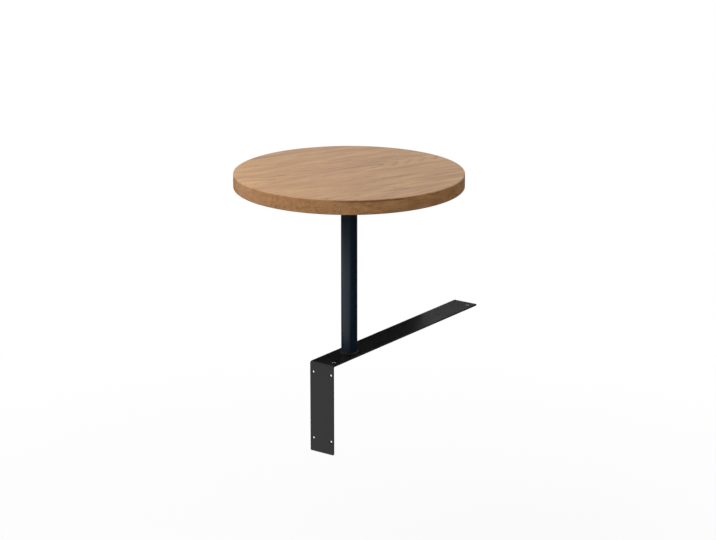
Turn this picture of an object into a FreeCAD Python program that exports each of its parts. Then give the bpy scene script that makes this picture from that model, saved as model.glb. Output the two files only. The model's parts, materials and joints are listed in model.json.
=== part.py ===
# Round oak table top on a steel post, welded to a bent strip that lies on a bench and laps down its front.
# Millimetres, +Z up. X runs across the strip, and +Y runs back along the bench.
# The origin is on the post's axis, on the underside of the strip, where it rests on the bench.
import FreeCAD, Part
import math
import os

from FreeCAD import Vector

# Table top of edge-glued oak staves
top_diameter = 400.0
top_thickness = 25.0
top_height = 329.0            # top face above the bench
arris_radius = 1.5            # rounding of the upper and lower rim
stave_count = 6
grain_angle = 68.0            # degrees, direction of the staves from +X towards +Y

# Post and its welds
post_diameter = 28.6
post_wall = 2.0
post_setback = 79.0           # axis behind the front of the bench
weld_leg = 3.0
weld_crown = 0.4              # how far the weld's face stands proud of flat

# Bent strip
strip_width = 50.0
strip_thickness = 3.0
bend_radius = 1.0             # inside the bend
seat_length = 456.0           # along the bench, over the outside of the bend
drop_length = 165.0           # down the front of the bench, over the outside of the bend
corner_radius = 1.5           # free corners at both ends
edge_break = 0.4              # rounding of the strip's long edges

# Countersunk fixing holes: one row in the leg on the bench, pairs across the leg down its front
fixing_diameter = 4.0
countersink_diameter = 7.0
seat_hole_offset = 15.0       # the row lies right of the strip's centre line
seat_front_margin = 12.5      # front hole behind the front of the bench
seat_back_margin = 17.0       # back hole from the end of the strip
drop_pitch = 38.0             # between the two holes of a pair
drop_top_margin = 16.0        # upper pair below the top of the bench
drop_end_margin = 24.0        # lower pair from the end of the strip

# Plate under the top, and the screws that hold the top to it
plate_side = 110.0
plate_thickness = 4.0
plate_corner = 10.0
plate_edge = 0.5              # rounding of the plate's outline
screw_pitch = 80.0            # between neighbouring screws
screw_diameter = 6.0
screw_length = 16.0
screw_point = 0.8             # chamfer at the screw's end
head_diameter = 10.5
head_height = 3.3
head_flat = 5.6               # flat around the socket
head_rim = 0.7                # straight side of the head
socket_width = 4.0            # across flats
socket_depth = 2.0
plate_hole = 8.0              # oversize, so that the oak can move with the seasons
washer_diameter = 18.0
washer_thickness = 1.6
insert_diameter = 10.0
insert_length = 13.0
insert_relief = 1.5           # bore deeper than the insert
thread_clearance = 0.1        # radial, screw to insert and to washer
insert_clearance = 0.05       # radial, insert to oak

# Levels and places that follow from the sizes above
top_radius = top_diameter / 2
post_radius = post_diameter / 2
oak_underside = top_height - top_thickness
plate_underside = oak_underside - plate_thickness
washer_underside = plate_underside - washer_thickness
bench_front = -post_setback
strip_front = bench_front - strip_thickness
strip_back = strip_front + seat_length
strip_bottom = strip_thickness - drop_length


def revolved(profile):
    """Solid from a closed half profile in the XZ plane, turned about Z."""
    return Part.Face(profile).revolve(Vector(), Vector(0, 0, 1), 360)


def polygon_xz(points):
    """Closed wire through (x, z) points in the XZ plane."""
    corners = [Vector(x, 0, z) for x, z in points]
    return Part.makePolygon(corners + corners[:1])


def edges_along(shape, direction, length):
    """Straight edges of that length along a direction."""
    found = []
    for edge in shape.Edges:
        if isinstance(edge.Curve, Part.Line) and abs(edge.Length - length) < 1e-6:
            if edge.tangentAt(edge.FirstParameter).cross(direction).Length < 1e-6:
                found.append(edge)
    return found


def screw_places():
    """The four screw axes on a square about the post."""
    half = screw_pitch / 2
    return [Vector(x, y, 0) for x in (-half, half) for y in (-half, half)]


def at_screws(solid):
    """One copy of a solid on each screw axis, as a group of separate solids."""
    return Part.makeCompound([solid.translated(place) for place in screw_places()])


def stave_outline(near_cut, far_cut):
    """Outline of one stave between two saw cuts across the disc, with the grain along X."""
    near_angle = math.asin(near_cut / top_radius)
    far_angle = math.asin(far_cut / top_radius)

    def rim(angle, side):
        return Vector(side * top_radius * math.cos(angle), top_radius * math.sin(angle), oak_underside)

    edges = []
    for side in (-1, 1):
        middle = rim((near_angle + far_angle) / 2, side)
        edges.append(Part.Arc(rim(near_angle, side), middle, rim(far_angle, side)).toShape())
    for angle in (near_angle, far_angle):
        if abs(angle) < math.pi / 2:
            edges.append(Part.makeLine(rim(angle, -1), rim(angle, 1)))
    return Part.Wire(Part.sortEdges(edges)[0])


def oak_staves():
    """Staves that make up the round top, with eased rims and bores for the inserts."""
    bore_radius = insert_diameter / 2 + insert_clearance
    bore = Part.makeCylinder(bore_radius, insert_length + insert_relief, Vector(0, 0, oak_underside))
    bores = at_screws(bore)
    cuts = [top_radius * (2 * index / stave_count - 1) for index in range(stave_count + 1)]
    staves = []
    for near_cut, far_cut in zip(cuts, cuts[1:]):
        stave = Part.Face(stave_outline(near_cut, far_cut)).extrude(Vector(0, 0, top_thickness))
        rims = [edge for edge in stave.Edges if isinstance(edge.Curve, Part.Circle)]
        stave = stave.makeFillet(arris_radius, rims)
        stave.rotate(Vector(), Vector(0, 0, 1), grain_angle)
        staves.append(stave.cut(bores).Solids[0])
    return staves


def post_tube():
    """Round tube from the strip up to the plate."""
    length = plate_underside - strip_thickness
    foot = Vector(0, 0, strip_thickness)
    outside = Part.makeCylinder(post_radius, length, foot)
    return outside.cut(Part.makeCylinder(post_radius - post_wall, length, foot))


def weld_ring(seat_level, away):
    """Crowned fillet weld round the post on a flat seat; away is 1 above the seat and -1 below it."""
    inner = Vector(post_radius, 0, seat_level)
    toe = Vector(post_radius + weld_leg, 0, seat_level)
    top = Vector(post_radius, 0, seat_level + away * weld_leg)
    out = Vector(1, 0, away).normalize()
    crown = (toe + top) * 0.5 + out * weld_crown
    face = Part.Arc(toe, crown, top).toShape()
    return revolved(Part.Wire([Part.makeLine(inner, toe), face, Part.makeLine(top, inner)]))


def fixing_cutter():
    """Countersunk hole along Z with its mouth at the origin, cutting downwards."""
    hole = fixing_diameter / 2
    mouth = countersink_diameter / 2
    sink = mouth - hole
    return revolved(polygon_xz([
        (0, 0), (mouth, 0), (hole, -sink), (hole, -strip_thickness), (0, -strip_thickness)]))


def bench_bracket():
    """Flat strip bent once to an L, with eased edges and countersunk fixing holes."""
    centre = Vector(0, bench_front + bend_radius, -bend_radius)
    diagonal = Vector(0, -1, 1).normalize()

    def point(y, z):
        return Vector(-strip_width / 2, y, z)

    def bend(start, radius, end):
        middle = centre + diagonal * radius
        return Part.Arc(start, point(middle.y, middle.z), end).toShape()

    outer = bend_radius + strip_thickness
    corners = [
        point(strip_front, strip_bottom), point(strip_front, centre.z),
        point(centre.y, strip_thickness), point(strip_back, strip_thickness),
        point(strip_back, 0), point(centre.y, 0),
        point(bench_front, centre.z), point(bench_front, strip_bottom)]
    outline = Part.Wire([
        Part.makeLine(corners[0], corners[1]), bend(corners[1], outer, corners[2]),
        Part.makeLine(corners[2], corners[3]), Part.makeLine(corners[3], corners[4]),
        Part.makeLine(corners[4], corners[5]), bend(corners[5], bend_radius, corners[6]),
        Part.makeLine(corners[6], corners[7]), Part.makeLine(corners[7], corners[0])])
    strip = Part.Face(outline).extrude(Vector(strip_width, 0, 0))
    ends = edges_along(strip, Vector(0, 0, 1), strip_thickness)
    ends += edges_along(strip, Vector(0, 1, 0), strip_thickness)
    strip = strip.makeFillet(corner_radius, ends)
    strip = strip.makeFillet(min(edge_break, strip_thickness / 3), face_outlines(strip))

    for y in (bench_front + seat_front_margin, strip_back - seat_back_margin):
        cutter = fixing_cutter()
        cutter.translate(Vector(seat_hole_offset, y, strip_thickness))
        strip = strip.cut(cutter)
    for x in (-drop_pitch / 2, drop_pitch / 2):
        for z in (-drop_top_margin, strip_bottom + drop_end_margin):
            cutter = fixing_cutter()
            cutter.rotate(Vector(), Vector(1, 0, 0), 90)
            cutter.translate(Vector(x, strip_front, z))
            strip = strip.cut(cutter)
    return strip


def face_outlines(strip):
    """Edges where the strip's broad faces, bends included, meet its narrow sides and ends."""
    found = []
    for edge in strip.Edges:
        box = edge.BoundBox
        across_end = box.XLength > strip_width / 2 and on_an_end(box)
        along_side = box.XLength < 1e-6 and abs(abs(box.Center.x) - strip_width / 2) < 1e-6
        round_corner = 1e-6 < box.XLength < strip_width / 2
        if across_end or along_side or round_corner:
            found.append(edge)
    return found


def on_an_end(box):
    """True for an edge box that lies on the strip's back end or bottom end."""
    return abs(box.YMax - strip_back) < 1e-6 or abs(box.ZMin - strip_bottom) < 1e-6


def head_plate():
    """Square plate with rounded corners, eased edges and oversize screw holes."""
    half = plate_side / 2
    plate = Part.makeBox(plate_side, plate_side, plate_thickness, Vector(-half, -half, plate_underside))
    plate = plate.makeFillet(plate_corner, edges_along(plate, Vector(0, 0, 1), plate_thickness))
    outlines = [edge for edge in plate.Edges if edge.BoundBox.ZLength < 1e-6]
    plate = plate.makeFillet(min(plate_edge, plate_thickness / 3), outlines)
    hole = Part.makeCylinder(plate_hole / 2, plate_thickness, Vector(0, 0, plate_underside))
    return plate.cut(at_screws(hole))


def threaded_insert():
    """Bush in the oak, flush with its underside."""
    foot = Vector(0, 0, oak_underside)
    outside = Part.makeCylinder(insert_diameter / 2, insert_length, foot)
    return outside.cut(Part.makeCylinder(screw_diameter / 2, insert_length, foot))


def top_washer():
    """Broad washer under the plate."""
    foot = Vector(0, 0, washer_underside)
    outside = Part.makeCylinder(washer_diameter / 2, washer_thickness, foot)
    return outside.cut(Part.makeCylinder(screw_diameter / 2, washer_thickness, foot))


def top_screw():
    """Button-head socket screw, pointing up, with its head against the washer."""
    shank = screw_diameter / 2 - thread_clearance
    crown = washer_underside - head_height
    rim = washer_underside - head_rim
    tip = washer_underside + screw_length
    flat_edge = Vector(head_flat / 2, 0, crown)
    rim_edge = Vector(head_diameter / 2, 0, rim)
    chord = rim_edge - flat_edge
    bulge = (flat_edge + rim_edge) * 0.5 + Vector(chord.z, 0, -chord.x) * 0.15
    rest = [
        rim_edge, Vector(head_diameter / 2, 0, washer_underside), Vector(shank, 0, washer_underside),
        Vector(shank, 0, tip - screw_point), Vector(shank - screw_point, 0, tip), Vector(0, 0, tip),
        Vector(0, 0, crown), flat_edge]
    dome = Part.Arc(flat_edge, bulge, rim_edge).toShape()
    screw = revolved(Part.Wire([dome] + Part.makePolygon(rest).Edges))
    across_corners = socket_width / math.sqrt(3)
    corners = [Vector(across_corners, 0, crown)]
    for turn in range(1, 6):
        angle = math.radians(60 * turn)
        corners.append(Vector(across_corners * math.cos(angle), across_corners * math.sin(angle), crown))
    socket = Part.Face(Part.makePolygon(corners + corners[:1])).extrude(Vector(0, 0, socket_depth))
    return screw.cut(socket)


nodes = {
    "bench_bracket": bench_bracket(),
    "post_tube": post_tube(),
    "foot_weld": weld_ring(strip_thickness, 1),
    "head_weld": weld_ring(plate_underside, -1),
    "head_plate": head_plate(),
    "threaded_inserts": at_screws(threaded_insert()),
    "top_washers": at_screws(top_washer()),
    "top_screws": at_screws(top_screw()),
}
for number, stave in enumerate(oak_staves(), 1):
    nodes[f"oak_stave_{number}"] = stave

os.makedirs("parts", exist_ok=True)
for name, shape in nodes.items():
    shape.exportStep(f"parts/{name}.step")
    print(name, len(shape.Solids), shape.isValid(), round(shape.Volume))
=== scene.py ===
"""Finish, light and camera for the bench-mounted oak table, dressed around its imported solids."""
import json
import math

import bmesh
import bpy
from mathutils import Matrix, Vector


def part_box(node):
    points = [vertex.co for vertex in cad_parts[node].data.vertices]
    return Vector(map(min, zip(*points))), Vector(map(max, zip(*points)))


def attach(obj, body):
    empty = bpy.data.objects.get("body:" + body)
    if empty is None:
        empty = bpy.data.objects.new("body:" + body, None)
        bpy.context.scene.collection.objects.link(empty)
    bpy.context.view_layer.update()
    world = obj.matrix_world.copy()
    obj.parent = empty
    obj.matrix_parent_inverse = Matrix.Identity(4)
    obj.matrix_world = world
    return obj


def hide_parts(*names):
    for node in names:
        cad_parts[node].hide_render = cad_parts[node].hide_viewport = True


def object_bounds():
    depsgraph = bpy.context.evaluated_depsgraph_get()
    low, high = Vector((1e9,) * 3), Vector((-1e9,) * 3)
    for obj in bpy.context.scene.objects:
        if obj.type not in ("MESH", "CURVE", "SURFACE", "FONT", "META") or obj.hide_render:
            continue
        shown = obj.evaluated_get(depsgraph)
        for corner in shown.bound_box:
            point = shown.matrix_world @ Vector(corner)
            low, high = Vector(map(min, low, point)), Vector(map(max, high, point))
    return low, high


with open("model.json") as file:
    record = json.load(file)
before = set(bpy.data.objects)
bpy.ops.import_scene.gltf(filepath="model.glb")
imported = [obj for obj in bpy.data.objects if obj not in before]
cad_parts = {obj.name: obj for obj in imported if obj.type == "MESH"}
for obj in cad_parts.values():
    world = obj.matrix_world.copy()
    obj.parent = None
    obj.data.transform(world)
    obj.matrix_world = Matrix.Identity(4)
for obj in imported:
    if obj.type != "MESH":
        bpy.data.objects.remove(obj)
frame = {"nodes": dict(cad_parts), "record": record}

CAD_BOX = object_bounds()
NODES = frame["nodes"]
MOUNTS = {mount["name"]: mount for mount in frame["record"]["mounts"]}
MM = 0.001

# The oak top: its staves lie side by side, turned from +X towards +Y by this angle.
GRAIN_ANGLE = math.radians(68)
GRAIN = (math.cos(GRAIN_ANGLE), math.sin(GRAIN_ANGLE), 0.0)
STAVES = sorted(name for name in NODES if name.startswith("oak_stave_"))
TOP_RADIUS = CAD_BOX[1].x
TOP_FACE = CAD_BOX[1].z
TOP_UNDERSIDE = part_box(STAVES[0])[0].z
TOP_MIDDLE = (TOP_UNDERSIDE + TOP_FACE) / 2
STAVE_WIDTH = 2 * TOP_RADIUS / len(STAVES)

# The strip, the front of the bench that it laps over, and the two countersunk holes in its long leg
STRIP_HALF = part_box("bench_bracket")[1].x
BENCH_FRONT = MOUNTS["bench_front"]["pos_m"][1]
SEAT_HOLES_MIDDLE = MOUNTS["seat_holes"]["pos_m"]
SEAT_HOLES_HALF = MOUNTS["seat_holes"]["dims"]["spacing_y_mm"] / 2 * MM
COUNTERSINK_RADIUS = 3.5 * MM

# The post and the two fillet welds on it: their ripples, the crown of their face as a share of the leg, and
# the waves in which they get thinner, each with its depth, its number round the post and its start
POST_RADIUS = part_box("post_tube")[1].x
WELD_RIPPLES = 54
WELD_RIPPLE_HEIGHT = 0.13 * MM
WELD_RIPPLE_TRAIL = 1.1
WELD_RIPPLE_SHARPNESS = 0.6
WELD_CROWN = 0.16
WELD_WAVES = ((0.05, 3, 0.7), (0.03, 7, 0.0))
STEPS_PER_RIPPLE = 8
STEPS_OVER_FACE = 12

# Where the photograph was taken from
VIEW_AZIMUTH = math.radians(35.79)
VIEW_ELEVATION = math.radians(16.07)
VIEW_DISTANCE = 4.0435
VIEW_HEIGHT = 0.150
VIEW_RIGHT = 0.01539
VIEW_UP = 0.00266
LENS = 116.44
SENSOR = 36.0
TO_CAMERA = Vector((math.sin(VIEW_AZIMUTH), -math.cos(VIEW_AZIMUTH), 0.0))
TO_RIGHT = Vector((math.cos(VIEW_AZIMUTH), math.sin(VIEW_AZIMUTH), 0.0))


# Small helpers for building shader nodes

# Numbers of a colour mix's sockets: its factor, its two colours and its result
MIX_INPUTS = (0, 6, 7)
MIX_RESULT = 2

# The range that smooth noise mostly stays in
NOISE_RANGE = (0.3, 0.7)


def feed(tree, socket, value):
    """Links a socket to another socket, or sets it to a plain value."""
    if isinstance(value, bpy.types.NodeSocket):
        tree.links.new(value, socket)
    else:
        socket.default_value = value


def calc(tree, operation, *terms):
    """One step of arithmetic on values."""
    node = tree.nodes.new("ShaderNodeMath")
    node.operation = operation
    for socket, term in zip(node.inputs, terms):
        feed(tree, socket, term)
    return node.outputs[0]


def product(tree, first, second):
    """Two values multiplied."""
    return calc(tree, "MULTIPLY", first, second)


def total(tree, first, *weighted):
    """Adds values that each come with a weight to a first value."""
    for value, weight in weighted:
        first = calc(tree, "MULTIPLY_ADD", value, weight, first)
    return first


def vector_calc(tree, operation, *terms):
    """One step of arithmetic on vectors."""
    node = tree.nodes.new("ShaderNodeVectorMath")
    node.operation = operation
    for socket, term in zip(node.inputs, terms):
        feed(tree, socket, term)
    return node.outputs["Value" if operation in ("LENGTH", "DOT_PRODUCT") else "Vector"]


def split(tree, vector):
    """The x, y and z of a vector."""
    node = tree.nodes.new("ShaderNodeSeparateXYZ")
    feed(tree, node.inputs[0], vector)
    return node.outputs[0], node.outputs[1], node.outputs[2]


def join(tree, x, y, z):
    """A vector from x, y and z."""
    node = tree.nodes.new("ShaderNodeCombineXYZ")
    for socket, value in zip(node.inputs, (x, y, z)):
        feed(tree, socket, value)
    return node.outputs[0]


def noise(tree, vector, scale=1.0, detail=2.0, roughness=0.5):
    """Smooth noise from 0 to 1, about 0.5."""
    node = tree.nodes.new("ShaderNodeTexNoise")
    feed(tree, node.inputs["Vector"], vector)
    node.inputs["Scale"].default_value = scale
    node.inputs["Detail"].default_value = detail
    node.inputs["Roughness"].default_value = roughness
    return node.outputs["Fac"]


def swing(tree, value):
    """Turns noise about 0.5 into a swing about zero."""
    return calc(tree, "SUBTRACT", value, 0.5)


def remap(tree, value, low, high, new_low=0.0, new_high=1.0, smooth=True):
    """Stretches a value's range, held at the ends."""
    node = tree.nodes.new("ShaderNodeMapRange")
    node.interpolation_type = "SMOOTHSTEP" if smooth else "LINEAR"
    for socket, term in zip(node.inputs, (value, low, high, new_low, new_high)):
        feed(tree, socket, term)
    return node.outputs[0]


def fade(tree, value, full, gone):
    """1 up to the first limit and 0 past the second."""
    return remap(tree, value, full, gone, 1.0, 0.0)


def blend(tree, factor, first, second):
    """Mixes two colours."""
    node = tree.nodes.new("ShaderNodeMix")
    node.data_type = "RGBA"
    for number, value in zip(MIX_INPUTS, (factor, first, second)):
        feed(tree, node.inputs[number], value)
    return node.outputs[MIX_RESULT]


def ramp(tree, factor, stops):
    """Colours along a value, as (place, colour) stops."""
    node = tree.nodes.new("ShaderNodeValToRGB")
    elements = node.color_ramp.elements
    while len(elements) < len(stops):
        elements.new(1.0)
    for element, (place, colour) in zip(elements, stops):
        element.position = place
        element.color = colour
    feed(tree, node.inputs[0], factor)
    return node.outputs[0]


def new_group(name, inputs, outputs):
    """Empty shader group with named sockets; gives the tree, its given sockets and its result sockets."""
    tree = bpy.data.node_groups.new(name, "ShaderNodeTree")
    kinds = {"value": "NodeSocketFloat", "vector": "NodeSocketVector", "colour": "NodeSocketColor"}
    for direction, sockets in (("INPUT", inputs), ("OUTPUT", outputs)):
        for socket, kind in sockets.items():
            tree.interface.new_socket(name=socket, in_out=direction, socket_type=kinds[kind])
    return tree, tree.nodes.new("NodeGroupInput").outputs, tree.nodes.new("NodeGroupOutput").inputs


def place_group(tree, group, values):
    """Puts a group into a material and feeds its inputs; gives its outputs."""
    node = tree.nodes.new("ShaderNodeGroup")
    node.node_tree = group
    for name, value in values.items():
        feed(tree, node.inputs[name], value)
    return node.outputs


def new_material(name):
    """Material with a Principled shader; gives the material, its tree and the shader's inputs."""
    material = bpy.data.materials.new(name)
    material.use_nodes = True
    tree = material.node_tree
    return material, tree, tree.nodes["Principled BSDF"].inputs


def object_place(tree):
    """The place on the object, in the frame's metres."""
    return tree.nodes.new("ShaderNodeTexCoord").outputs["Object"]


def bump(tree, height, depth):
    """Normal from a height whose unit is that depth."""
    node = tree.nodes.new("ShaderNodeBump")
    node.inputs["Distance"].default_value = depth
    feed(tree, node.inputs["Height"], height)
    return node.outputs["Normal"]


# Oak

OAK_PALE = (0.450, 0.245, 0.090, 1.0)
OAK_MID = (0.348, 0.174, 0.054, 1.0)
OAK_DARK = (0.215, 0.092, 0.025, 1.0)
OAK_ROSE = (0.362, 0.163, 0.067, 1.0)
# Painted shade for the upright rim: a warmer, darker colour than the face's
OAK_PAINTED_RIM_SHADE = (0.40, 0.155, 0.044, 1.0)
# Painted shade for the dark line under the upper arris
OAK_PAINTED_SHADE_LINE = (0.150, 0.055, 0.014, 1.0)
OAK_PORE = (0.085, 0.035, 0.012, 1.0)
OAK_TONES = [(0.0, OAK_PALE), (0.45, OAK_MID), (1.0, OAK_DARK)]
OAK_ROUGHNESS = 0.43
OAK_RELIEF = 0.08 * MM

# The length along the grain, and the width across it, of each kind of mark. Lengths in the board are in
# millimetres.
LOG_BEND = (260.0, 110.0)
RING_WOBBLE = (90.0, 10.0)
VESSEL = (9.0, 0.42)
FIBRE = (46.0, 1.4)
BAND = (70.0, 4.5)
STREAK = (95.0, 17.0)
FLUSH = (150.0, 34.0)
FLUSH_LIMITS = (0.45, 0.62)

# How far the log bends and its rings wobble, and the step in the noise from one bend to the other
LOG_BEND_DEPTH = 22.0
LOG_BEND_STEP = (17.3, 4.1, 9.7)
RING_WOBBLE_DEPTH = 3.0

# Where in a ring its open, early wood has set in, starts to close and is closed, and where its dense, late
# wood runs, all as shares of the ring's width. The faintest ring shows this share of its figure.
EARLY_SET_IN = 0.06
EARLY_CLOSES = (0.12, 0.40)
LATE_WOOD = (0.5, 1.0)
FAINTEST_RING = 0.3

# The noise above which a vessel shows, in late and in early wood, and the width of its soft edge
PORE_LIMITS = (0.74, 0.58)
PORE_SOFTNESS = 0.08

# Rays: how often they come for each radian round the pith, each millimetre from it and each along it
RAY_PITCH = (140.0, 0.09, 0.12)
RAY_LIMITS = (0.64, 0.74)

# The knot is drawn out along the grain. It is full up to the first size from its middle and gone past the
# second, and within its reach it pushes the rings aside.
KNOT_STRETCH = (0.4, 1.0, 0.3)
KNOT_SIZE = (1.5, 5.0)
KNOT_REACH = 16.0
KNOT_PUSH = 7.0

# The line of painted shade under the upper arris: how far it reaches to each end, where it starts to run
# out, how far above and below its middle it is full and gone, and its wander
SHADE_LINE_HALF_LENGTH = 62.0
SHADE_LINE_RUNS_OUT = SHADE_LINE_HALF_LENGTH * 0.6
SHADE_LINE_HALF_THICKNESS = (1.0, 1.9)
SHADE_LINE_WANDER = 1.2

# The glue line sets in between these distances from the stave's centre line.
GLUE_LINE = STAVE_WIDTH / 2 / MM
GLUE_SETS_IN = (GLUE_LINE - 0.45, GLUE_LINE - 0.15)

# The rounded arris by how level it lies, and how much darker it is on the lower and on the upper edge
ARRIS_STARTS = (0.2, 0.5)
ARRIS_ENDS = (0.93, 0.99)
# Painted shade on the lower arris, and a painted highlight, as a negative value, on the upper one
ARRIS_PAINTED_DARKER = (0.60, -0.30)


def along_grain(tree, place, size):
    """Board place in units of a mark's length along the grain and its width across it."""
    length, width = size
    return vector_calc(tree, "MULTIPLY", place, (1 / length, 1 / width, 1 / width))


def grain_swing(tree, place, size, detail=2.0, roughness=0.5):
    """Swing about zero in marks of that size that follow the grain."""
    return swing(tree, noise(tree, along_grain(tree, place, size), detail=detail, roughness=roughness))


def from_pith(tree, given):
    """Distances across and up from the pith of a log that bends a little along its length."""
    _, across, up = split(tree, given["Board Place"])
    bends = along_grain(tree, given["Board Place"], LOG_BEND)
    other_bends = vector_calc(tree, "ADD", bends, LOG_BEND_STEP)
    distances = []
    for place, pith, bend in ((across, given["Pith Across"], bends), (up, given["Pith Up"], other_bends)):
        bent = swing(tree, noise(tree, bend, detail=1.0))
        distances.append(total(tree, calc(tree, "SUBTRACT", place, pith), (bent, LOG_BEND_DEPTH)))
    return distances


def small_knot(tree, given):
    """The knot itself, and how much the grain around it is pushed aside."""
    from_knot = vector_calc(tree, "SUBTRACT", given["Board Place"], given["Knot"])
    distance = vector_calc(tree, "LENGTH", vector_calc(tree, "MULTIPLY", from_knot, KNOT_STRETCH))
    return fade(tree, distance, *KNOT_SIZE), fade(tree, distance, 0.0, KNOT_REACH)


def growth_rings(tree, given, along, radius, pushed):
    """The early and the late wood of each ring, and how strongly that ring shows."""
    uneven = grain_swing(tree, given["Board Place"], RING_WOBBLE)
    grown = total(tree, radius, (along, given["Taper"]), (uneven, RING_WOBBLE_DEPTH), (pushed, KNOT_PUSH))
    rings = calc(tree, "DIVIDE", grown, given["Ring Width"])
    season = tree.nodes.new("ShaderNodeTexWhiteNoise")
    season.noise_dimensions = "1D"
    feed(tree, season.inputs["W"], calc(tree, "FLOOR", rings))
    vigour = remap(tree, season.outputs["Value"], 0.0, 1.0, FAINTEST_RING, 1.0, smooth=False)
    ring = calc(tree, "FRACT", rings)
    early = product(tree, fade(tree, ring, *EARLY_CLOSES), remap(tree, ring, 0.0, EARLY_SET_IN))
    return early, remap(tree, ring, *LATE_WOOD), vigour


def open_vessels(tree, place, early):
    """Pores: short dashes along the grain, and dots on the end grain, closest in the early wood."""
    vessels = noise(tree, along_grain(tree, place, VESSEL), detail=1.0)
    limit = remap(tree, early, 0.0, 1.0, *PORE_LIMITS, smooth=False)
    return remap(tree, vessels, limit, calc(tree, "ADD", limit, PORE_SOFTNESS))


def pale_rays(tree, along, pith_across, pith_up, radius):
    """Rays, which stand out from the pith as thin plates."""
    turn = calc(tree, "ARCTAN2", pith_up, pith_across)
    place = join(tree, *(product(tree, way, pitch) for way, pitch in zip((turn, radius, along), RAY_PITCH)))
    return remap(tree, noise(tree, place, detail=1.0), *RAY_LIMITS)


def painted_shade_line(tree, given, bands):
    """Painted shade: a dark line parallel to the face that wanders with the bands and runs out at both
    ends.
    """
    along, _, up = split(tree, vector_calc(tree, "SUBTRACT", given["Board Place"], given["Seam"]))
    off_line = calc(tree, "ABSOLUTE", total(tree, up, (bands, SHADE_LINE_WANDER)))
    runs_out = fade(tree, calc(tree, "ABSOLUTE", along), SHADE_LINE_RUNS_OUT, SHADE_LINE_HALF_LENGTH)
    return product(tree, fade(tree, off_line, *SHADE_LINE_HALF_THICKNESS), runs_out)


def arris_highlight_and_shade(tree, facing, level):
    """Painted light on the arrises: a painted highlight on the upper one, and painted shade on the lower
    one.
    """
    arris = product(tree, remap(tree, level, *ARRIS_STARTS), fade(tree, level, *ARRIS_ENDS))
    return product(tree, arris, remap(tree, facing, -0.5, 0.5, *ARRIS_PAINTED_DARKER))


def oak_figure_group():
    """Growth rings, pores, rays and fibres of a sawn oak board.

    Board Place is in millimetres, with X along the log. Pith Across and Pith Up place the log's centre
    beside the board, Knot a small knot, and Shade Line the middle of painted shade parallel to the face.
    End Grain is 1 where the surface is cut square across the log. Facing is 1 on the face, 0 on the
    upright rim and -1 on the underside.
    """
    tree, given, out = new_group(
        "oak_figure",
        {"Board Place": "vector", "Pith Across": "value", "Pith Up": "value", "Taper": "value",
         "Ring Width": "value", "Tone": "value", "Knot": "vector", "Seam": "vector",
         "End Grain": "value", "Facing": "value"},
        {"Colour": "colour", "Roughness": "value", "Height": "value"})
    place = given["Board Place"]
    along, across, _ = split(tree, place)
    knot, pushed = small_knot(tree, given)
    pith_across, pith_up = from_pith(tree, given)
    radius = vector_calc(tree, "LENGTH", join(tree, pith_across, pith_up, 0.0))
    early, late, vigour = growth_rings(tree, given, along, radius, pushed)
    porous = product(tree, early, vigour)
    dense = product(tree, late, vigour)
    pores = open_vessels(tree, place, early)
    rays = pale_rays(tree, along, pith_across, pith_up, radius)
    fibres = grain_swing(tree, place, FIBRE, detail=4.0, roughness=0.62)
    bands = grain_swing(tree, place, BAND)
    streaks = grain_swing(tree, place, STREAK)
    flush = remap(tree, noise(tree, along_grain(tree, place, FLUSH), detail=1.0), *FLUSH_LIMITS)
    shade_line = painted_shade_line(tree, given, bands)
    glue = remap(tree, calc(tree, "ABSOLUTE", across), *GLUE_SETS_IN)

    # On the rim the figure is stronger, and painted shade makes its colour warmer and darker.
    level = calc(tree, "ABSOLUTE", given["Facing"])
    rim = calc(tree, "SUBTRACT", 1.0, level)
    tone = total(
        tree, given["Tone"],
        (porous, 0.55), (dense, 0.28), (fibres, 0.95), (bands, 1.15), (streaks, 1.8),
        (knot, 0.60), (glue, 0.25), (arris_highlight_and_shade(tree, given["Facing"], level), 1.0),
        (given["End Grain"], 0.04), (rim, 0.06),
        (product(tree, bands, rim), 0.9), (product(tree, porous, rim), 0.05))
    colour = ramp(tree, tone, OAK_TONES)
    layers = [(flush, 0.42, OAK_ROSE), (rim, 0.25, OAK_PAINTED_RIM_SHADE), (shade_line, 0.75, OAK_PAINTED_SHADE_LINE),
              (rays, 0.20, OAK_PALE), (pores, 0.70, OAK_PORE)]
    for mask, strength, layer in layers:
        colour = blend(tree, product(tree, mask, strength), colour, layer)
    feed(tree, out["Colour"], colour)
    feed(tree, out["Roughness"], total(tree, OAK_ROUGHNESS, (fibres, 0.18), (pores, 0.25)))
    feed(tree, out["Height"], total(tree, 0.5, (fibres, 0.35), (late, 0.10), (pores, -0.8)))
    return tree


# For each stave: pith beside it and above or below it, taper, ring width, tone, and place along the log
STAVE_LOGS = [
    (18.0, -140.0, 0.020, 3.2, 0.25, 1953.0),
    (-75.0, 60.0, -0.025, 2.7, 0.21, 1478.0),
    (60.0, -95.0, 0.030, 3.3, 0.17, 1901.0),
    (-12.0, 88.0, 0.040, 2.9, 0.16, 3419.0),
    (85.0, -50.0, -0.028, 3.0, 0.11, 3832.0),
    (-40.0, 110.0, 0.030, 2.6, 0.13, 5340.0),
]

# One small knot shows on the face of the fourth stave, and a line of painted shade on the first's outer
# side.
# The other staves have theirs far outside the board.
KNOTS = {3: (28.0, 25.0, 12.5)}
SHADE_LINES = {0: (-70.0, 0.0, 10.3)}
NOWHERE = (1e4, 0.0, 1e4)


def board_place(tree, index, start):
    """Place in a stave in millimetres, with X along its log and measured from the log's start."""
    turned = tree.nodes.new("ShaderNodeVectorRotate")
    turned.rotation_type = "Z_AXIS"
    turned.inputs["Angle"].default_value = -GRAIN_ANGLE
    feed(tree, turned.inputs["Vector"], object_place(tree))
    stave_centre = (index + 0.5) * STAVE_WIDTH - TOP_RADIUS
    board = vector_calc(tree, "SUBTRACT", turned.outputs[0], (-start * MM, stave_centre, TOP_MIDDLE))
    return vector_calc(tree, "DIVIDE", board, (MM, MM, MM))


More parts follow.
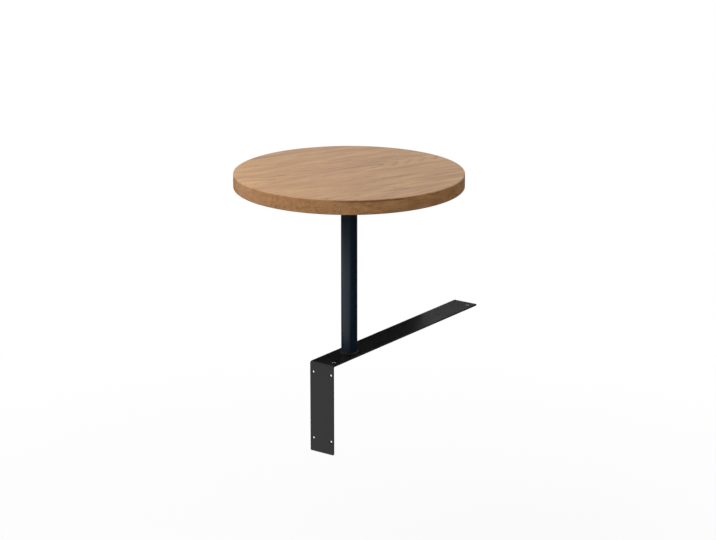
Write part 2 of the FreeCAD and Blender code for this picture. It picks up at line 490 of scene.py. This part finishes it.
def oak_material(index, figure):
    """Matt-oiled oak for one stave, cut from its own place in the log."""
    pith_across, pith_up, taper, ring_width, tone, start = STAVE_LOGS[index]
    in_log = Vector((start, 0.0, 0.0))
    material, tree, shader = new_material(f"oiled_oak_{index + 1}")
    normal = tree.nodes.new("ShaderNodeNewGeometry").outputs["Normal"]
    end_grain = calc(tree, "ABSOLUTE", vector_calc(tree, "DOT_PRODUCT", normal, GRAIN))
    wood = place_group(tree, figure, {
        "Board Place": board_place(tree, index, start),
        "Pith Across": pith_across, "Pith Up": pith_up, "Taper": taper,
        "Ring Width": ring_width, "Tone": tone,
        "Knot": Vector(KNOTS.get(index, NOWHERE)) + in_log,
        "Seam": Vector(SHADE_LINES.get(index, NOWHERE)) + in_log,
        "End Grain": end_grain, "Facing": split(tree, normal)[2]})
    feed(tree, shader["Base Color"], wood["Colour"])
    feed(tree, shader["Roughness"], wood["Roughness"])
    feed(tree, shader["Normal"], bump(tree, wood["Height"], OAK_RELIEF))
    return material


# Black powder coat on steel

# Each coat: its deep and its pale black, its roughness and its specular level
COATS = {
    "strip_coat": ((0.0028, 0.0028, 0.0029, 1.0), (0.0045, 0.0045, 0.0047, 1.0), 0.36, 0.42),
    "weld_coat": ((0.0028, 0.0030, 0.0034, 1.0), (0.0045, 0.0050, 0.0058, 1.0), 0.52, 0.25),
    "post_coat": ((0.0022, 0.0100, 0.0220, 1.0), (0.0034, 0.0130, 0.0285, 1.0), 0.36, 0.38),
}
RUBBED_COAT = (0.016, 0.016, 0.0165, 1.0)
BARE_STEEL = (0.36, 0.36, 0.355, 1.0)
BARE_SHINE = 0.35

# How many marks of each kind the coat has in a metre, and how high its orange peel stands
PEEL = 900.0
GRIT = 3200.0
CLOUDS = 30.0
CHIPS = 700.0
RUBBED_PATCHES = 120.0
PEEL_HEIGHT = 0.02 * MM

# Distances from a hole's axis over which the ring of bare steel sets in and ends, and how ragged it is
CHIPPED_FROM = (COUNTERSINK_RADIUS - 0.9 * MM, COUNTERSINK_RADIUS - 0.7 * MM)
CHIPPED_TO = (COUNTERSINK_RADIUS - 0.1 * MM, COUNTERSINK_RADIUS)
CHIP_RAGGEDNESS = 0.5 * MM

# The width of the rubbed stretch along the strip's edges, and the noise over which its patches set in
RUBBED_WIDTH = 0.6 * MM
RUBBED_LIMITS = (0.35, 0.65)


def powder_coat_group():
    """Fine orange peel and faint cloudiness of a powder coat, over a place in metres."""
    tree, given, out = new_group(
        "powder_coat",
        {"Place": "vector", "Deep Colour": "colour", "Pale Colour": "colour", "Gloss Roughness": "value"},
        {"Colour": "colour", "Roughness": "value", "Height": "value"})
    peel = noise(tree, given["Place"], PEEL)
    grit = noise(tree, given["Place"], GRIT, detail=1.0)
    clouds = noise(tree, given["Place"], CLOUDS, detail=3.0)
    paler = remap(tree, clouds, *NOISE_RANGE)
    uneven = [(swing(tree, clouds), 0.16), (swing(tree, grit), 0.10)]
    feed(tree, out["Colour"], blend(tree, paler, given["Deep Colour"], given["Pale Colour"]))
    feed(tree, out["Roughness"], total(tree, given["Gloss Roughness"], *uneven))
    feed(tree, out["Height"], total(tree, peel, (grit, 0.4)))
    return tree


def seat_hole_distance(tree, place):
    """Distance in metres from the axis of the nearer hole in the long leg."""
    from_middle = vector_calc(tree, "ABSOLUTE", vector_calc(tree, "SUBTRACT", place, SEAT_HOLES_MIDDLE))
    from_hole = vector_calc(tree, "SUBTRACT", from_middle, (0.0, SEAT_HOLES_HALF, 0.0))
    return vector_calc(tree, "LENGTH", vector_calc(tree, "MULTIPLY", from_hole, (1.0, 1.0, 0.0)))


def strip_wear(tree, colour, roughness):
    """Coat rubbed along the strip's edges, with bare steel on the rims of the holes in the long leg.

    Takes the sound coat's colour and roughness; gives the worn colour, roughness and metal.
    """
    place = object_place(tree)
    ragged = swing(tree, noise(tree, place, CHIPS))
    distance = total(tree, seat_hole_distance(tree, place), (ragged, CHIP_RAGGEDNESS))
    bare = product(tree, remap(tree, distance, *CHIPPED_FROM), fade(tree, distance, *CHIPPED_TO))
    aside = calc(tree, "ABSOLUTE", split(tree, place)[0])
    patches = remap(tree, noise(tree, place, RUBBED_PATCHES, detail=3.0), *RUBBED_LIMITS)
    rubbed = product(tree, remap(tree, aside, STRIP_HALF - RUBBED_WIDTH, STRIP_HALF), patches)
    worn_colour = blend(tree, bare, blend(tree, rubbed, colour, RUBBED_COAT), BARE_STEEL)
    worn_roughness = total(tree, roughness, (bare, 0.05), (rubbed, -0.08))
    return worn_colour, worn_roughness, product(tree, bare, BARE_SHINE)


def coat_material(name, coat, wear=None):
    """One of the black powder coats, with the wear of its piece where it has any."""
    deep, pale, roughness, specular = COATS[name]
    material, tree, shader = new_material(name)
    skin = place_group(tree, coat, {
        "Place": object_place(tree), "Deep Colour": deep, "Pale Colour": pale,
        "Gloss Roughness": roughness})
    colour = skin["Colour"]
    dullness = skin["Roughness"]
    if wear:
        colour, dullness, metal = wear(tree, colour, dullness)
        feed(tree, shader["Metallic"], metal)
    feed(tree, shader["Base Color"], colour)
    feed(tree, shader["Roughness"], dullness)
    feed(tree, shader["Normal"], bump(tree, skin["Height"], PEEL_HEIGHT))
    shader["Specular IOR Level"].default_value = specular
    return material


# Zinc plate on the screws, washers and inserts

ZINC_TONES = [(0.3, (0.50, 0.51, 0.53, 1.0)), (0.7, (0.66, 0.66, 0.64, 1.0))]
ZINC_CLOUDS = 420.0
ZINC_SCRATCHES = (3600.0, 480.0, 3600.0)
ZINC_ROUGHNESS = (0.24, 0.42)


def zinc_material():
    """Bright zinc plate, slightly clouded and finely scratched."""
    material, tree, shader = new_material("zinc_plate")
    place = object_place(tree)
    clouds = noise(tree, place, ZINC_CLOUDS, detail=3.0)
    scratches = noise(tree, vector_calc(tree, "MULTIPLY", place, ZINC_SCRATCHES))
    feed(tree, shader["Base Color"], ramp(tree, clouds, ZINC_TONES))
    feed(tree, shader["Roughness"], remap(tree, scratches, *NOISE_RANGE, *ZINC_ROUGHNESS))
    shader["Metallic"].default_value = 1.0
    return material


# Weld beads

def bead_section(angle, seat, leg, away):
    """Outline of a bead at an angle round the post, as radius and height, over its face to its root."""
    leg *= 1 - sum(depth * (1 + math.sin(times * angle + start)) for depth, times, start in WELD_WAVES)
    points = []
    for step in range(STEPS_OVER_FACE + 1):
        share = step / STEPS_OVER_FACE
        crown = math.sin(math.pi * share)
        # Each ripple is a crescent that trails behind at the middle of the face.
        ripple = (1 + math.cos(WELD_RIPPLES * angle - WELD_RIPPLE_TRAIL * crown)) / 2
        groove = WELD_RIPPLE_HEIGHT * (1 - ripple ** WELD_RIPPLE_SHARPNESS)
        bow = crown * (WELD_CROWN * leg - groove) * math.sqrt(0.5)
        points.append((POST_RADIUS + leg * (1 - share) + bow, seat + away * (leg * share + bow)))
    return points + [(POST_RADIUS, seat)]


def bead_mesh(name, seat, leg, away):
    """Closed ring of bead sections round the post, smooth on its face."""
    steps_round = WELD_RIPPLES * STEPS_PER_RIPPLE
    mesh = bmesh.new()
    loops = []
    for step in range(steps_round):
        angle = 2 * math.pi * step / steps_round
        section = bead_section(angle, seat, leg, away)
        loops.append([mesh.verts.new((r * math.cos(angle), r * math.sin(angle), z)) for r, z in section])
    for first, second in zip(loops, loops[1:] + loops[:1]):
        for corner in range(len(first)):
            following = (corner + 1) % len(first)
            face = mesh.faces.new((first[corner], second[corner], second[following], first[following]))
            face.smooth = corner < STEPS_OVER_FACE
    bmesh.ops.recalc_face_normals(mesh, faces=mesh.faces)
    data = bpy.data.meshes.new(name)
    mesh.to_mesh(data)
    mesh.free()
    return data


def weld_bead(name, node, away, material):
    """Ring of overlapping weld ripples in the corner between the post and a flat seat.

    away is 1 where the weld stands above its seat and -1 where it hangs below it.
    """
    low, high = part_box(node)
    seat = low.z if away > 0 else high.z
    bead = bpy.data.objects.new(name, bead_mesh(name, seat, high.z - low.z, away))
    bead.data.materials.append(material)
    bpy.context.scene.collection.objects.link(bead)
    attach(bead, "root")
    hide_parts(node)


# Finishes on the pieces

def dress(node, material):
    """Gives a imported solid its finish."""
    for slot in NODES[node].material_slots:
        slot.material = material


def dress_pieces():
    """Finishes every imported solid, and lays the beads in place of the plain welds."""
    figure = oak_figure_group()
    coat = powder_coat_group()
    strip_coat = coat_material("strip_coat", coat, strip_wear)
    weld_coat = coat_material("weld_coat", coat)
    post_coat = coat_material("post_coat", coat)
    zinc = zinc_material()
    for index, stave in enumerate(STAVES):
        dress(stave, oak_material(index, figure))
    dress("bench_bracket", strip_coat)
    for node in ("post_tube", "head_plate"):
        dress(node, post_coat)
    for node in ("threaded_inserts", "top_washers", "top_screws"):
        dress(node, zinc)
    weld_bead("foot_weld_bead", "foot_weld", 1, weld_coat)
    weld_bead("head_weld_bead", "head_weld", -1, weld_coat)


# Studio

# The floor lies a bench's height below the strip. To the eye it grows whiter between two distances from the
# object.
FLOOR = -0.42
FLOOR_RADIUS = 14.0
FLOOR_CORNERS = 96
FLOOR_PALE = 0.92
FLOOR_WHITENS = (0.3, 1.5)
FLOOR_WHITENESS = (0.90, 1.0)

# The even light from all around, and the lamps, each with its place, aim, width, height and level. Levels
# are shares of white.
AMBIENT = 0.46
LAMPS = {
    "overhead_softbox": ((-0.65, -0.45, 2.3), (0.0, 0.0, 0.33), 1.6, 1.6, 0.49),
    "left_softbox": ((-0.8, -2.2, 1.25), (0.0, 0.0, 0.2), 1.2, 1.6, 0.22),
}

# The small lamp over the edge of the top: its turn from the line to the camera in degrees, how far it is
# outside and above that edge, its size and its level
EDGE_TURN = -68
EDGE_LAMP_OUT = 0.08
EDGE_LAMP_UP = 0.20
EDGE_LAMP_SIZE = 0.2
EDGE_LAMP_LEVEL = 0.46

# Cards on the floor, which end below the face of the top and show only in gloss: painted dark reflections.
# Each has two feet, as distances to the right of the post and towards the camera, a top and a grey.
CARD_TOP = TOP_FACE - 0.005
LOW_CARD_TOP = 0.12
CARD_BLACK = 0.01
CARD_GREY = 0.27
CARDS = {
    "right_card": ((0.08, 1.9), (0.6, -0.6), CARD_TOP, CARD_BLACK),
    "low_back_card": ((0.135, -0.31), (-0.47, -0.31), CARD_TOP, CARD_BLACK),
    "left_back_card": ((-0.47, -0.31), (-0.9, -0.31), LOW_CARD_TOP, CARD_BLACK),
    "far_back_card": ((1.1, -0.7), (0.1, -0.7), CARD_TOP, CARD_GREY),
}

# The curved card before the post: its reach round the post from the line to the camera, in degrees,
# the heights between which it fades from white to dark, and its upper end
# The card glows and shows only in gloss: a painted reflection that puts painted shade on the upper post.
SHADE_RADIUS = 0.14
SHADE_TURNS = range(-115, 11, 5)
SHADE_WHITE = 0.100
SHADE_DARK = 0.230
SHADE_TOP = TOP_UNDERSIDE - 0.035

# The card that lies where the bench would be, seen only in gloss as a painted dark reflection
FOOT_CARD_REACH = 0.1
FOOT_CARD_HEIGHT = -0.001


def at_turn(turn):
    """Level direction at a turn in degrees to the right of the line from the post to the camera."""
    turn = math.radians(turn)
    return TO_CAMERA * math.cos(turn) + TO_RIGHT * math.sin(turn)


def seen_white(tree):
    """1 for what the camera, gloss and glass see, and 0 for the light that falls on the object."""
    path = tree.nodes.new("ShaderNodeLightPath").outputs
    mirrored = calc(tree, "MAXIMUM", path["Is Glossy Ray"], path["Is Transmission Ray"])
    return calc(tree, "MAXIMUM", path["Is Camera Ray"], mirrored)


def pale_floor():
    """Plain floor at a bench's foot, white to the eye, that keeps the object's faint shadow near it."""
    bpy.ops.mesh.primitive_circle_add(
        vertices=FLOOR_CORNERS, radius=FLOOR_RADIUS, fill_type="NGON", location=(0, 0, FLOOR))
    floor = bpy.context.object
    floor.name = "floor"
    material, tree, shader = new_material("floor_white")
    shader["Base Color"].default_value = (FLOOR_PALE, FLOOR_PALE, FLOOR_PALE, 1.0)
    shader["Roughness"].default_value = 0.9
    white = tree.nodes.new("ShaderNodeEmission")
    white.inputs["Strength"].default_value = 1.0
    away = vector_calc(tree, "LENGTH", object_place(tree))
    whiteness = remap(tree, away, *FLOOR_WHITENS, *FLOOR_WHITENESS)
    mixed = tree.nodes.new("ShaderNodeMixShader")
    feed(tree, mixed.inputs[0], product(tree, seen_white(tree), whiteness))
    feed(tree, mixed.inputs[1], tree.nodes["Principled BSDF"].outputs[0])
    feed(tree, mixed.inputs[2], white.outputs[0])
    feed(tree, tree.nodes["Material Output"].inputs["Surface"], mixed.outputs[0])
    floor.data.materials.append(material)


def white_world():
    """White surroundings for the eye, and a soft even light on the object."""
    world = bpy.data.worlds.new("studio")
    bpy.context.scene.world = world
    world.use_nodes = True
    tree = world.node_tree
    background = tree.nodes["Background"]
    background.inputs["Color"].default_value = (1.0, 1.0, 1.0, 1.0)
    strength = remap(tree, seen_white(tree), 0.0, 1.0, AMBIENT, 1.0, smooth=False)
    feed(tree, background.inputs["Strength"], strength)


def softbox(name, place, aim, width, height, level):
    """Area lamp that gives about that level, as a share of white, on a surface that faces it at its aim."""
    lamp = bpy.data.lights.new(name, "AREA")
    lamp.shape = "RECTANGLE"
    lamp.size = width
    lamp.size_y = height
    beam = Vector(aim) - Vector(place)
    lamp.energy = level * (math.pi * beam.length) ** 2
    holder = bpy.data.objects.new(name, lamp)
    holder.location = place
    holder.rotation_mode = "QUATERNION"
    holder.rotation_quaternion = beam.to_track_quat("-Z", "Y")
    holder.visible_camera = False
    holder.visible_glossy = False
    bpy.context.scene.collection.objects.link(holder)


def edge_softbox():
    """Small lamp close over the edge of the top, to the left as the camera sees it."""
    outwards = at_turn(EDGE_TURN)
    edge = outwards * TOP_RADIUS + Vector((0, 0, TOP_FACE))
    place = edge + outwards * EDGE_LAMP_OUT + Vector((0, 0, EDGE_LAMP_UP))
    softbox("edge_softbox", place, edge, EDGE_LAMP_SIZE, EDGE_LAMP_SIZE, EDGE_LAMP_LEVEL)


def gloss_card(name, corners, faces, material):
    """Card that the camera doesn't see and that casts no shadow: it shows only in gloss."""
    data = bpy.data.meshes.new(name)
    data.from_pydata(corners, [], faces)
    data.materials.append(material)
    card = bpy.data.objects.new(name, data)
    bpy.context.scene.collection.objects.link(card)
    for sight in ("visible_camera", "visible_diffuse", "visible_transmission", "visible_shadow"):
        setattr(card, sight, False)


def upright_card(name, feet, bottom, top, material):
    """Card that stands up over a line of feet."""
    count = len(feet)
    corners = [(*foot.xy, height) for height in (bottom, top) for foot in feet]
    faces = [(left, left + 1, count + left + 1, count + left) for left in range(count - 1)]
    gloss_card(name, corners, faces, material)


def card_material(name, grey):
    """Dull, plain grey card."""
    material, _, shader = new_material(name)
    shader["Base Color"].default_value = (grey, grey, grey, 1.0)
    shader["Roughness"].default_value = 1.0
    return material


def standing_cards():
    """Flat cards that stand on the floor around the object, seen only in gloss as painted dark reflections.
    """
    for name, (first, second, top, grey) in CARDS.items():
        feet = [TO_RIGHT * right + TO_CAMERA * near for right, near in (first, second)]
        upright_card(name, feet, FLOOR, top, card_material(name, grey))


def shade_card():
    """Curved card hung under the top in front of the post, glowing white at its foot and dark above.

    In the photograph the post loses its gloss towards the top.
    """
    # Painted reflection: glowing, white low down and dark higher up, seen only in gloss
    material, tree, shader = new_material("shade_card")
    shader["Base Color"].default_value = (0.0, 0.0, 0.0, 1.0)
    shader["Specular IOR Level"].default_value = 0.0
    shader["Emission Strength"].default_value = 1.0
    height = split(tree, object_place(tree))[2]
    feed(tree, shader["Emission Color"], fade(tree, height, SHADE_WHITE, SHADE_DARK))
    feet = [at_turn(turn) * SHADE_RADIUS for turn in SHADE_TURNS]
    upright_card("shade_card", feet, SHADE_WHITE, SHADE_TOP, material)


def foot_card():
    """Dark card under the strip, where the bench would be: a painted dark reflection in the foot of the
    post.
    """
    front = [(x, BENCH_FRONT, FOOT_CARD_HEIGHT) for x in (-FOOT_CARD_REACH, FOOT_CARD_REACH)]
    back = [(x, FOOT_CARD_REACH, FOOT_CARD_HEIGHT) for x in (FOOT_CARD_REACH, -FOOT_CARD_REACH)]
    gloss_card("foot_card", front + back, [(0, 1, 2, 3)], card_material("foot_card", CARD_BLACK))


def light_studio():
    """Floor, surroundings, lamps and cards."""
    pale_floor()
    white_world()
    for name, lamp in LAMPS.items():
        softbox(name, *lamp)
    edge_softbox()
    standing_cards()
    shade_card()
    foot_card()


def photograph_camera():
    """Camera at the photograph's viewing angle."""
    back = TO_CAMERA * math.cos(VIEW_ELEVATION) + Vector((0, 0, math.sin(VIEW_ELEVATION)))
    up = back.cross(TO_RIGHT)
    aim = Vector((0, 0, VIEW_HEIGHT)) + TO_RIGHT * VIEW_RIGHT + up * VIEW_UP
    camera = bpy.data.cameras.new("photograph_view")
    camera.sensor_width = SENSOR
    camera.lens = LENS
    holder = bpy.data.objects.new("photograph_view", camera)
    holder.matrix_world = Matrix((TO_RIGHT, up, back)).transposed().to_4x4()
    holder.location = aim + back * VIEW_DISTANCE
    bpy.context.scene.collection.objects.link(holder)
    bpy.context.scene.camera = holder


dress_pieces()
light_studio()
photograph_camera()
bpy.context.scene.view_settings.view_transform = "Standard"
